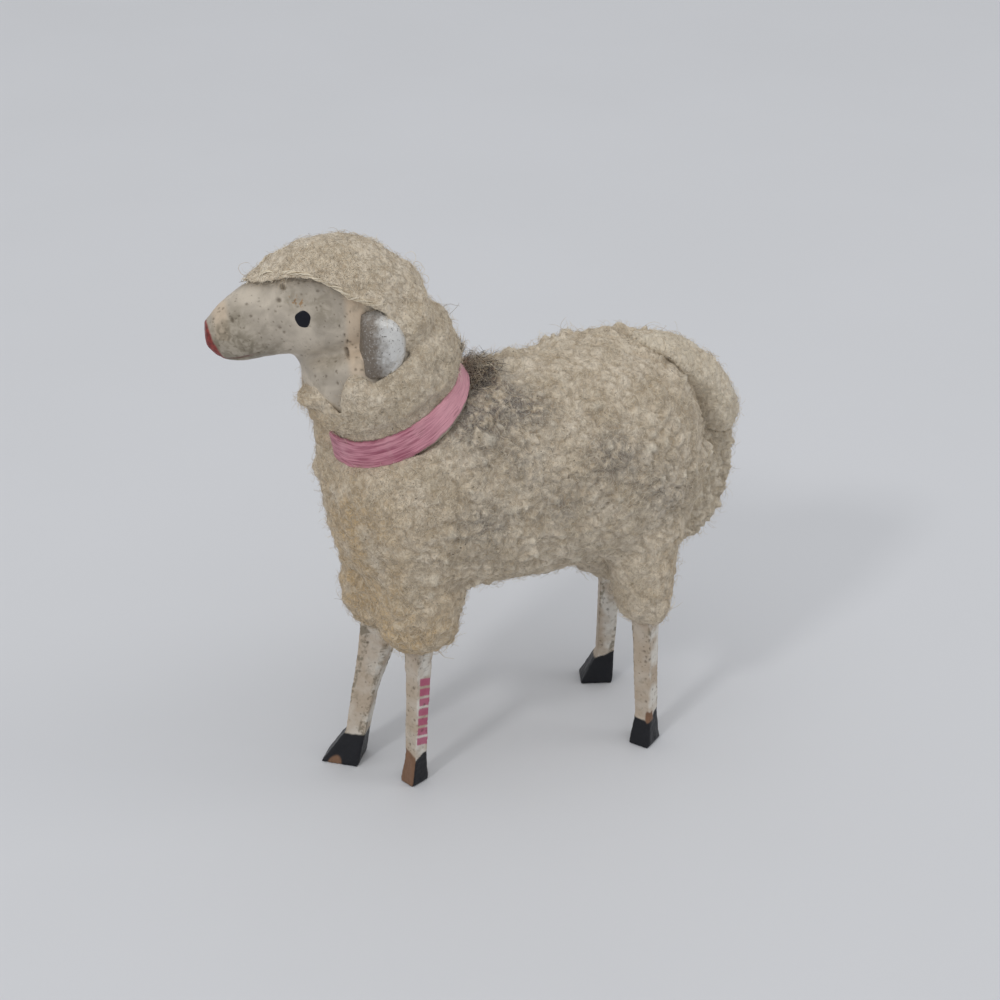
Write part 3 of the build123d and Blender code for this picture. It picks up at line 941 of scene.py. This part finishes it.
def face_material():
    """Old chalky paint: warm grey-white with pits, grey grimy smudges and painted shade under the muzzle,
    rust spots and a red nose.
    """
    face = Shading("chalk_paint", roughness=0.5, specular=0.3)
    colour = face.mix(face.patches(0.35, 0.65, 3.2, 3.0, 0.4), GESSO_GREY, GESSO)
    colour = face.over(colour, GESSO_CREAM, 0.8, face.layer("cream"))
    # Painted shade: this layer darkens the underside of the muzzle as well as the grimy smudges.
    colour = face.over(colour, GRIME_AND_SHADE, 0.42, face.layer("grime_and_shade"))
    grime_and_shade = face.math("MULTIPLY", face.patches(0.35, 0.65, 0.9, 5.0, 0.8), face.layer("grime_and_shade"))
    colour = face.over(colour, GRIME_AND_SHADE, 0.8, grime_and_shade)
    colour = face.over(colour, GRIME_AND_SHADE, 0.28, face.patches(0.5, 0.75, 1.4, 5.0, 0.8))
    colour = face.over(colour, PIT_BROWN, 0.55, face.patches(0.71, 0.75, 0.26))
    rust = face.math("MULTIPLY", face.layer("rust"), face.patches(0.55, 0.63, 0.4))
    colour = face.over(colour, RUST, 0.7, rust)
    colour = face.over(colour, PIT_BROWN, 0.72, face.layer("holes"))
    worn_red = face.mix(face.patches(0.35, 0.7, 0.5, 3.0), NOSE_RED, NOSE_DARK)
    colour = face.mix(face.layer("nose"), colour, worn_red)
    colour = face.over(colour, LIP_BROWN, 0.7, face.layer("lip"))
    face.bump(face.noise(0.25, 4.0), 0.04)
    return face.finish(colour, face.ramp(face.noise(2.0), 0.3, 0.7, 0.38, 0.62))


def ear_material():
    """Silver paint, bright at the back of the ear as a painted highlight, and a darker, mottled grey-brown
    towards the front.
    """
    ear = Shading("silvered_ear", roughness=0.35, specular=0.5)
    ear.shader.inputs["Metallic"].default_value = 0.35
    mottle = ear.noise(0.55, 6.0, 0.6)
    # Painted highlight: the back of the ear is bright silver; the front is a darker grey-brown.
    darkened = ear.ramp(ear.math("ADD", ear.layer("darkened"), ear.math("MULTIPLY", mottle, 0.9)), 0.55, 1.45)
    colour = ear.mix(darkened, SILVER_WITH_HIGHLIGHT, SILVER_DARK)
    colour = ear.over(colour, SILVER_WITH_HIGHLIGHT, 0.45, ear.patches(0.55, 0.72, 0.22, 3.0))
    colour = ear.over(colour, SILVER_CHIP, 0.8, ear.patches(0.63, 0.71, 0.26))
    ear.bump(mottle, 0.12)
    ear.bump(ear.noise(0.2, 3.0), 0.05)
    return ear.finish(colour, ear.ramp(darkened, 0.0, 1.0, 0.24, 0.55))


def squared_ear(points, side):
    """An ear with a squarer and taller front, cut off at its reach and domed on its outer side."""
    forward, left, height = head_place(points)
    ahead, up = (forward - EAR_FORWARD) / 3.0, (height - EAR_HEIGHT) / 3.4
    corner = np.sin(2 * np.arctan2(up, ahead)) ** 2 * (ahead > 0)
    squarer = 1 + 0.30 * corner * np.clip(np.hypot(ahead, up), 0, 1)
    points = points + head_forward * ((forward - EAR_FORWARD) * (squarer - 1))[:, None]
    past = np.clip(head_place(points)[0] - EAR_REACH, 0, None)
    points = points - head_forward * (0.75 * past)[:, None]
    points[:, 2] += (height - EAR_HEIGHT) * (squarer * 1.12 - 1)
    return points + head_left * (side * 0.25 * smoothstep(0, 1, left * side - 6.5))[:, None]


def make_ears():
    """The two domed ears, dented, and darker towards the front."""
    material = ear_material()
    for side, name in ((1, "left"), (-1, "right")):
        points, quads = voxel_skin([f"ear_{name}"], 0.12)
        points = squared_ear(relax(points, quads, 10), side)
        forward, left, height = head_place(points)
        rim = smoothstep(0.62, 0.85, np.hypot((forward - 2.4) / 2.8, (height - 62.3) / 3.7))
        relief = 0.22 * rim * smoothstep(3.5, 1.0, forward) + 0.06 * perlin(points, 1.3, 4.0)
        relief -= 0.08 * pits(points, 0.8, 0.3, 0.4 + 0.3 * perlin(points, 2.0), 9.0)
        outer = smoothstep(0.3, 0.8, left * side - 6.0)
        points = points + point_normals(points, quads) * (relief * outer)[:, None]
        ragged = forward - 0.15 * (height - 63) + 0.6 * perlin(points, 1.3, 3.0)
        # Darker towards the front; the bright back is a painted highlight.
        layers = {"darkened": smoothstep(0.8, 4.2, ragged)}
        ear = make_piece(f"domed_ear_{name}", points, quads, [material], layers)
        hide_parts(f"ear_{name}")


def make_eyes(points, quads):
    """A thick drop of black paint on each side of the head."""
    tree = surface_tree(points, quads)
    black = Shading("eye_paint", roughness=0.3, specular=0.2)
    material = black.finish(black.mix(black.noise(0.4), EYE_BLACK, EYE_SHEEN))
    rings, sides = 7, 40
    for side, name in ((1, "left"), (-1, "right")):
        placed = []
        for ring in range(rings + 1):
            share = ring / rings
            dome = 0.16 * math.sqrt(max(0.0, 1 - share**2)) - 0.03
            for step in range(sides):
                angle = 2 * math.pi * step / sides
                wobble = 1 + 0.05 * math.sin(3 * angle + side) + 0.03 * math.sin(5 * angle)
                forward = EYE_FORWARD + EYE_HALF_LENGTH * share * wobble * math.cos(angle)
                height = EYE_HEIGHT + EYE_HALF_HEIGHT * share * wobble * math.sin(angle)
                start = Vector(head_point(forward, 12.0 * side, height))
                hit, normal, _, _ = tree.ray_cast(start, Vector(-head_left * side))
                placed.append(np.array(hit) + np.array(normal) * dome)
        order = (0, 3, 2, 1) if side > 0 else (1, 2, 3, 0)
        faces = np.array(ring_quads(rings, sides))[:, order]
        make_piece(f"eye_{name}", placed, faces, [material])


head_points, head_quads = make_head()
make_ears()
make_eyes(head_points, head_quads)


# Yarn and stray fibres

# The cut yarn along the cap's edge over the left brow: forward, left and height
BROW_PATH = (
    (16.9, -0.8, 68.2),
    (16.0, -0.1, 69.0),
    (14.9, 0.9, 70.0),
    (13.3, 2.1, 70.7),
    (11.5, 3.2, 70.9),
    (9.5, 4.25, 70.9),
    (7.6, 5.4, 70.4),
    (6.2, 6.2, 69.4),
    (4.8, 6.8, 68.7),
    (3.0, 7.2, 68.1),
    (1.6, 7.2, 67.5),
)
YARN_DROP = 0.4
YARN_STEPS = 120
YARN_STRANDS = 30
YARN_RADIUS = 0.06


def along_line(index, line):
    """Points of a line at some places between its own points."""
    return np.stack([np.interp(index, np.arange(len(line)), line[:, k]) for k in range(3)], 1)


def smooth_path(places, count):
    """Even steps along a soft line through some places."""
    line = along_line(np.linspace(0, len(places) - 1, count), np.array(places))
    for _ in range(count // 8):
        line[1:-1] = (line[:-2] + 2 * line[1:-1] + line[2:]) / 4
    return line


def make_brow_yarn():
    """Twisted cream yarn along the cut edge of the cap, frayed at its ends."""
    rng = np.random.default_rng(41)
    tree = surface_tree(*piece_mesh(hood))
    paths, outs = [], []
    for side in (1, -1):
        places = [head_point(forward, left * side, height - YARN_DROP) for forward, left, height in BROW_PATH]
        line = smooth_path(places, YARN_STEPS)
        found = [tree.find_nearest(Vector(point)) for point in line.tolist()]
        places = [np.array(place) + 0.08 * np.array(normal) for place, normal, _, _ in found]
        line = smooth_path(places, YARN_STEPS)
        out = unit(line - head_middle)
        across = np.cross(unit(np.gradient(line, axis=0)), out)
        for strand in range(YARN_STRANDS):
            start = rng.uniform(0, 0.45)
            share = np.linspace(start, rng.uniform(max(0.55, start + 0.3), 1.0), 44)
            index = share * (YARN_STEPS - 1)
            middle, up, wide = (along_line(index, values) for values in (line, out, across))
            angle = (2 * math.pi * rng.uniform(3, 7) * share + rng.uniform(0, 2 * math.pi))[:, None]
            away = rng.uniform(0.04, 0.32) + 0.08 * np.sin(share * rng.uniform(20, 50) + strand)
            away += 0.6 * rng.random() * (smoothstep(0.8, 1.0, share) + smoothstep(0.12, 0.0, share))
            paths.append(middle + away[:, None] * (np.sin(angle) * up + np.cos(angle) * wide))
            outs.append(up.mean(0))
    colours = rng.choice(5, len(paths), p=YARN_SHARES)
    thread_piece("brow_yarn", np.array(paths), YARN_RADIUS, np.array(outs), colours)


# Stray fibres: root, heading, length and total turn in radians
STRAY_FIBRES = (
    ((-2.9, -27.6, 68.6), (-0.3, -1.0, -0.4), 4.2, 4.6),
    ((-3.2, -27.4, 68.8), (-0.2, -1.0, 0.0), 3.6, -4.0),
    ((-2.4, -27.3, 68.6), (0.0, -1.0, -0.6), 3.2, 3.0),
    ((-3.4, -27.2, 68.4), (-0.4, -1.0, -0.3), 2.6, -5.0),
    ((-2.0, -27.2, 69.8), (0.1, -0.8, 0.6), 2.4, 5.5),
    ((0.5, -7.0, 71.0), (-0.2, 0.8, 0.8), 3.2, 4.5),
    ((-0.5, -6.4, 70.4), (-0.1, 1.0, 0.5), 3.6, -5.0),
    ((1.2, -5.8, 69.6), (0.1, 1.0, 0.3), 2.6, 5.5),
    ((0.0, -5.6, 69.0), (-0.2, 1.0, 0.2), 3.0, 4.0),
    ((0.6, -4.6, 65.0), (0.1, 0.9, 0.8), 2.4, -1.2),
    ((1.0, -4.0, 62.5), (0.1, 0.8, 0.7), 2.0, 1.0),
    ((2.0, -24.2, 57.5), (0.0, -1.0, 0.5), 2.0, 5.0),
    ((1.6, -24.3, 57.0), (-0.1, -1.0, 0.2), 2.4, -4.0),
    ((2.4, -24.0, 56.4), (0.1, -1.0, -0.2), 1.8, 4.0),
    ((11.97, 20.6, 32.3), (0.05, -0.05, -1.0), 8.0, -0.5),
    ((5.6, -10.0, 15.0), (0.3, 0.8, -0.5), 3.0, 0.8),
)
STRAY_RADIUS = 0.028


def make_stray_fibres():
    """Single curly fibres that stand out from the brow, the crown, the chin and the hind leg."""
    rng = np.random.default_rng(61)
    trees = [surface_tree(*piece_mesh(piece)) for piece in (hood, fleece)]
    steps = 26
    paths, outs = [], []
    for root, heading, length, turn in STRAY_FIBRES:
        ahead = unit(np.array(heading))
        side = unit(np.cross(ahead, rng.normal(size=3)))
        third = np.cross(ahead, side)
        angle = turn * np.linspace(0, 1, steps) ** 1.3 + 0.25 * rng.normal(size=steps).cumsum() / 2
        angle = angle[:, None]
        moves = np.cos(angle) * ahead + np.sin(angle) * side + 0.25 * np.sin(angle * 0.7) * third
        found = [tree.find_nearest(Vector(root)) for tree in trees]
        start = np.array(min(found, key=lambda hit: hit[3])[0])
        paths.append(start + (moves * length / steps).cumsum(0))
        outs.append(side)
    colours = rng.choice(4, len(paths), p=STRAY_SHARES)
    thread_piece("stray_fibres", np.array(paths), STRAY_RADIUS, np.array(outs), colours)


make_brow_yarn()
make_stray_fibres()


# Ribbon

RIBBON_DARK = linear(156, 88, 106)
RIBBON_PINK = linear(204, 140, 154)
RIBBON_PALE = linear(206, 158, 164)
RIBBON_PAINTED_LIGHT = linear(226, 168, 178)
RIBBON_THREAD = linear(122, 66, 78)


def ribbon_points(angle, rise, stand):
    """Points on the ribbon's skin at angles round the neck and rises along it."""
    cover = ribbon_cover(angle)
    out = stand - 0.35 * cover - (rise - ribbon_rise(angle)) * ribbon_flare(angle) * (1 - cover)
    across = (np.cos(angle) * (COLLAR_HALF_WIDTH + out))[..., None]
    back = (np.sin(angle) * (COLLAR_HALF_DEPTH + out))[..., None]
    points = collar_middle + across * X_AXIS + back * neck_side + rise[..., None] * neck_axis
    return points.reshape(-1, 3)


def ribbon_material():
    """Pink ribbon: lengthwise fibres with paler and darker threads, and painted light that makes it paler
    towards the back of the neck and darker at the front.
    """
    silk = Shading("pink_ribbon", roughness=0.6, specular=0.3, sheen=0.15)
    colour = silk.mix(silk.ramp(silk.layer("thread"), 0.25, 0.75), RIBBON_DARK, RIBBON_PINK)
    colour = silk.over(colour, RIBBON_PALE, 0.35, silk.patches(0.45, 0.75, 2.5, 3.0, 0.5))
    # Painted light: paler towards the back of the neck, with painted shade at the front.
    colour = silk.over(colour, RIBBON_PAINTED_LIGHT, 0.60, silk.layer("lit_side"))
    colour = silk.over(colour, RIBBON_THREAD, 0.5, silk.ramp(silk.layer("thread_dark"), 0.62, 0.75))
    silk.bump(silk.noise(0.3, 3.0, 0.5), 0.08)
    return silk.finish(colour)


def ribbon_faces(round_steps, wide_steps):
    """Quads of the ribbon's outer and inner skins and of its two edges."""
    faces = []
    skin, top = round_steps * wide_steps, wide_steps - 1
    for step in range(round_steps):
        this, after = step * wide_steps, (step + 1) % round_steps * wide_steps
        for row in range(top):
            quad = (this + row, after + row, after + row + 1, this + row + 1)
            faces.append(quad)
            faces.append(tuple(skin + corner for corner in quad[::-1]))
        faces.append((skin + this, skin + after, after, this))
        faces.append((this + top, after + top, skin + after + top, skin + this + top))
    return faces


def make_ribbon():
    """The collar ribbon, ridged along its length with a slightly uneven edge."""
    round_steps, wide_steps = 480, 48
    angles = np.linspace(0, 2 * math.pi, round_steps, endpoint=False)
    circle = np.stack([np.cos(angles), np.sin(angles), np.zeros(round_steps)], 1)
    upper = 1 + 0.10 * perlin(circle, 0.16, 3.0) + 0.05 * perlin(circle, 0.05, 5.0)
    lower = 1 + 0.10 * perlin(circle, 0.16, 7.0) + 0.05 * perlin(circle, 0.05, 9.0)
    angle, share = np.meshgrid(angles, np.linspace(-1, 1, wide_steps), indexing="ij")
    edge = np.where(share > 0, upper[:, None], lower[:, None])
    rise = share * edge * ribbon_half(angle) + 0.10 * np.sin(3 * angle + 0.8)
    rise += ribbon_rise(angle)
    along = np.stack([np.cos(angle) * 4.0, np.sin(angle) * 4.0, share * 16.0], -1).reshape(-1, 3)
    thread = perlin(along, 1.0, 2.0).reshape(rise.shape)
    fine = perlin(along * (1.6, 1.6, 2.4), 1.0, 21.0).reshape(rise.shape)
    edge_fall = smoothstep(0.80, 1.0, np.abs(share))
    outer = ribbon_points(angle, rise, 0.40 + 0.04 * thread + 0.03 * fine - 0.15 * edge_fall)
    inner = ribbon_points(angle, rise, np.full(rise.shape, -0.02))
    # Painted light: 1 at the back of the neck, 0 at its front, where the ribbon keeps a painted shade.
    lit_side = smoothstep(-0.3, 0.5, np.sin(angle))
    layers = {"thread": 0.5 + 0.5 * thread, "thread_dark": 0.5 + 0.5 * fine, "lit_side": lit_side}
    layers = {name: np.tile(values.ravel(), 2) for name, values in layers.items()}
    points = np.concatenate([outer, inner])
    faces = ribbon_faces(round_steps, wide_steps)
    ribbon = make_piece("ribbon", points, faces, [ribbon_material()], layers)
    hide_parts("collar")


make_ribbon()


# Legs

HOOF_BLACK = linear(22, 23, 28)
LEG_WHITE = linear(216, 211, 202)
LEG_CREAM_AND_SHADE = linear(182, 166, 147)
WOOD_BROWN = linear(140, 106, 82)
WOOD_GRAIN = linear(100, 74, 56)
STAMP_PINK = linear(176, 70, 112)

# How far each stick is turned about its length, in degrees
LEG_TURNS = {"front_left": 22, "front_right": -38, "rear_left": 35, "rear_right": -20}
# How much the hoof's border climbs towards the back of the stick
HOOF_SLANTS = {"front_left": 0.5, "front_right": 0.1, "rear_left": 0.5, "rear_right": 0.5}
STAMP_LEG = "front_left"
STAMP_BARS = 7
STAMP_LOW = 5.9
STAMP_HIGH = 16.4


def leg_directions(name):
    """The ways out of a stick's outer face and its rear face."""
    turn = math.radians(LEG_TURNS[name])
    outward = np.array((math.cos(turn), math.sin(turn), 0))
    return outward, np.array((-math.sin(turn), math.cos(turn), 0))


def leg_frame(name, points):
    """Places across and along the stick's faces, with the sole's middle as their zero."""
    sole = points[points[:, 2] < 0.3]
    shank = points[(points[:, 2] > 11) & (points[:, 2] < 13)].mean(0)
    foot = sole.mean(0)
    away = points - (foot + (shank - foot) * (points[:, 2:] / shank[2]))
    outward, backward = leg_directions(name)
    return away @ outward, away @ backward


def leg_material():
    """Chalky white paint over wood, with painted shade on the faces turned to the front, a black hoof and a
    row of pink bars.
    """
    leg = Shading("leg_paint", roughness=0.6, specular=0.3)
    colour = leg.mix(leg.patches(0.35, 0.65, 2.6, 3.0), LEG_WHITE, LEG_CREAM_AND_SHADE)
    # Painted shade: faces turned to the front are creamier, so that the faces behind read as lit.
    colour = leg.over(colour, LEG_CREAM_AND_SHADE, 0.7, leg.layer("front"))
    colour = leg.over(colour, GRIME_AND_SHADE, 0.35, leg.patches(0.52, 0.72, 0.9, 5.0, 1.2))
    darkened = leg.math("MULTIPLY", leg.layer("corner"), leg.patches(0.45, 0.6, 0.8, 3.0))
    colour = leg.over(colour, GRIME_AND_SHADE, 0.8, darkened)
    colour = leg.mix(leg.layer("stamp"), colour, STAMP_PINK)
    colour = leg.over(colour, PIT_BROWN, 0.6, leg.layer("holes"))
    colour = leg.mix(leg.layer("hoof"), colour, HOOF_BLACK)
    grain = leg.noise(0.35, 3.0, 0.3, leg.scaled(leg.place, (1.0, 1.0, 0.12)))
    colour = leg.mix(leg.layer("bare"), colour, leg.mix(grain, WOOD_BROWN, WOOD_GRAIN))
    leg.bump(leg.noise(0.3, 4.0), 0.06)
    return leg.finish(colour, leg.ramp(leg.layer("hoof"), 0.0, 1.0, 0.6, 0.38))


def bare_wood(name, across, along, height, ahead, outer):
    """Where the paint has gone from a hoof. Ahead and outer are 1 on the stick's front and outer faces."""
    if name == "front_left":
        return smoothstep(0.55, 0.75, ahead) * smoothstep(4.9, 4.5, height + 0.4 * across)
    if name == "front_right":
        arch = np.hypot((along + 0.6) / 1.1, (height + 0.3) / 1.7)
        return smoothstep(0.2, 0.5, outer) * smoothstep(1.0, 0.75, arch)
    if name == "rear_left":
        chip = np.hypot((across - 0.9) / 0.45, (height - 4.3) / 1.0)
        return smoothstep(1.0, 0.7, chip) * (along < 0)
    return np.zeros(len(height))


def stamp_bars(along, height, outer):
    """A plain row of slanted pink bars on the outer face of the stick."""
    share = (height + 0.35 * along - STAMP_LOW) / (STAMP_HIGH - STAMP_LOW)
    inside = (share > 0) & (share < 1) & (along > -0.75) & (along < 1.15) & (outer > 0.6)
    place = np.mod(share * STAMP_BARS, 1.0)
    return 0.85 * inside * smoothstep(0.02, 0.12, place) * smoothstep(0.88, 0.76, place)


def make_leg(name, material):
    """One whittled and painted stick with its hoof."""
    points, quads = voxel_skin([f"leg_{name}"], 0.15)
    points = relax(points, quads, 2)
    points = relax(points, quads, 14, smoothstep(5.0, 3.0, points[:, 2]))
    normals = point_normals(points, quads)
    if name == "front_right":
        points[:, 1] += 1.5 * smoothstep(8, 18, points[:, 2]) * np.clip(normals[:, 1], 0, 1)
    across, along = leg_frame(name, points)
    height = points[:, 2]
    crowd = 0.4 + 0.5 * perlin(points, 2.5)
    holes = np.maximum(pits(points, 0.7, 0.13, crowd, 2.0), pits(points, 0.4, 0.20, crowd, 5.0))
    holes *= height > 5.0
    relief = 0.10 * perlin(points * (1.0, 1.0, 0.25), 1.2, 1.0) + 0.04 * perlin(points, 0.6, 4.0)
    relief -= 0.08 * holes
    border = HOOF_HEIGHT - 0.2 + 0.3 * perlin(points, 0.9, 6.0) + HOOF_SLANTS[name] * along
    outward, backward = leg_directions(name)
    outer, ahead = normals @ outward, -(normals @ backward)
    layers = {
        "hoof": smoothstep(0.10, -0.10, height - border),
        "holes": holes,
        "corner": smoothstep(0.75, 1.0, np.minimum(np.abs(across), np.abs(along)) / 1.2),
        # Painted shade on the faces turned to the sheep's front.
        "front": smoothstep(0.3, 0.8, -normals[:, 1]),
        "bare": bare_wood(name, across, along, height, ahead, outer),
        "stamp": stamp_bars(along, height, outer) * (name == STAMP_LEG),
    }
    painted = points + normals * (relief * smoothstep(0.0, 0.5, height))[:, None]
    leg = make_piece(f"painted_leg_{name}", painted, quads, [material], layers)
    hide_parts(f"leg_{name}")


leg_paint = leg_material()
for leg_name in LEG_NAMES:
    make_leg(leg_name, leg_paint)


# Hidden wood


def wood_material():
    """Plain turned wood for the block and the dowel inside."""
    wood = Shading("turned_wood", roughness=0.7)
    grain = wood.noise(0.9, 4.0, 0.6, wood.scaled(wood.place, (1.0, 0.12, 1.0)))
    wood.bump(grain, 0.05)
    return wood.finish(wood.mix(grain, linear(190, 158, 118), linear(150, 116, 80)))


turned_wood = wood_material()
for hidden in ("body_core", "neck_dowel"):
    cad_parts[hidden].data.materials.clear()
    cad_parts[hidden].data.materials.append(turned_wood)


# Stage, lamps and camera

FLOOR_GREY = linear(214, 215, 218)
FLOOR_SHADE = linear(206, 207, 209)
FLOOR_HALF = 1200.0
SHEEP_MIDDLE = Vector((0, 0, 35))
CAMERA_AZIMUTH = 67
CAMERA_ELEVATION = 29
CAMERA_DISTANCE = 245.0
CAMERA_TARGET = Vector((-2.2, 2.3, 34.6))
SENSOR = 36.0
LENS = 70.56


def make_floor():
    """A wide pale table top."""
    mesh = bpy.data.meshes.new("floor")
    half = FLOOR_HALF * MM
    corners = [(-half, -half, 0), (half, -half, 0), (half, half, 0), (-half, half, 0)]
    mesh.from_pydata(corners, [], [(0, 1, 2, 3)])
    table = Shading("table_top", roughness=0.6, specular=0.2)
    tone = table.ramp(table.noise(60.0, 3.0), 0.3, 0.7, 0.0, 0.2)
    mesh.materials.append(table.finish(table.mix(tone, FLOOR_GREY, FLOOR_SHADE)))
    floor = add_object("floor", mesh)


def look_from(thing, target, azimuth, elevation, distance):
    """Puts a lamp or the camera at a distance from a target and turns it there. Angles are degrees."""
    turn, rise = math.radians(azimuth), math.radians(elevation)
    away = Vector((math.sin(turn) * math.cos(rise), -math.cos(turn) * math.cos(rise), math.sin(rise)))
    thing.location = (target + away * distance) * MM
    thing.rotation_mode = "QUATERNION"
    thing.rotation_quaternion = (-away).to_track_quat("-Z", "Y")


def make_lamp(name, azimuth, elevation, distance, size, power):
    """A square soft lamp that faces the sheep's middle."""
    data = bpy.data.lights.new(name, "AREA")
    data.size = size * MM
    data.energy = power
    look_from(add_object(name, data), SHEEP_MIDDLE, azimuth, elevation, distance)


def make_world(strength):
    """Even light from all round."""
    world = bpy.data.worlds.new("room")
    world.use_nodes = True
    sky = world.node_tree.nodes["Background"]
    sky.inputs["Color"].default_value = linear(250, 252, 255)
    sky.inputs["Strength"].default_value = strength
    bpy.context.scene.world = world


def make_camera():
    """The photograph's viewing angle."""
    data = bpy.data.cameras.new("camera")
    data.sensor_width = SENSOR
    data.lens = LENS
    camera = add_object("camera", data)
    look_from(camera, CAMERA_TARGET, CAMERA_AZIMUTH, CAMERA_ELEVATION, CAMERA_DISTANCE)
    bpy.context.scene.camera = camera


make_floor()
make_world(0.60)
make_lamp("window", 30, 39, 1500, 170, 3.5)
make_lamp("ceiling", 60, 75, 1200, 1100, 2.9)
make_lamp("side", 155, 42, 1200, 400, 1.1)
make_camera()
bpy.context.scene.view_settings.view_transform = "Standard"
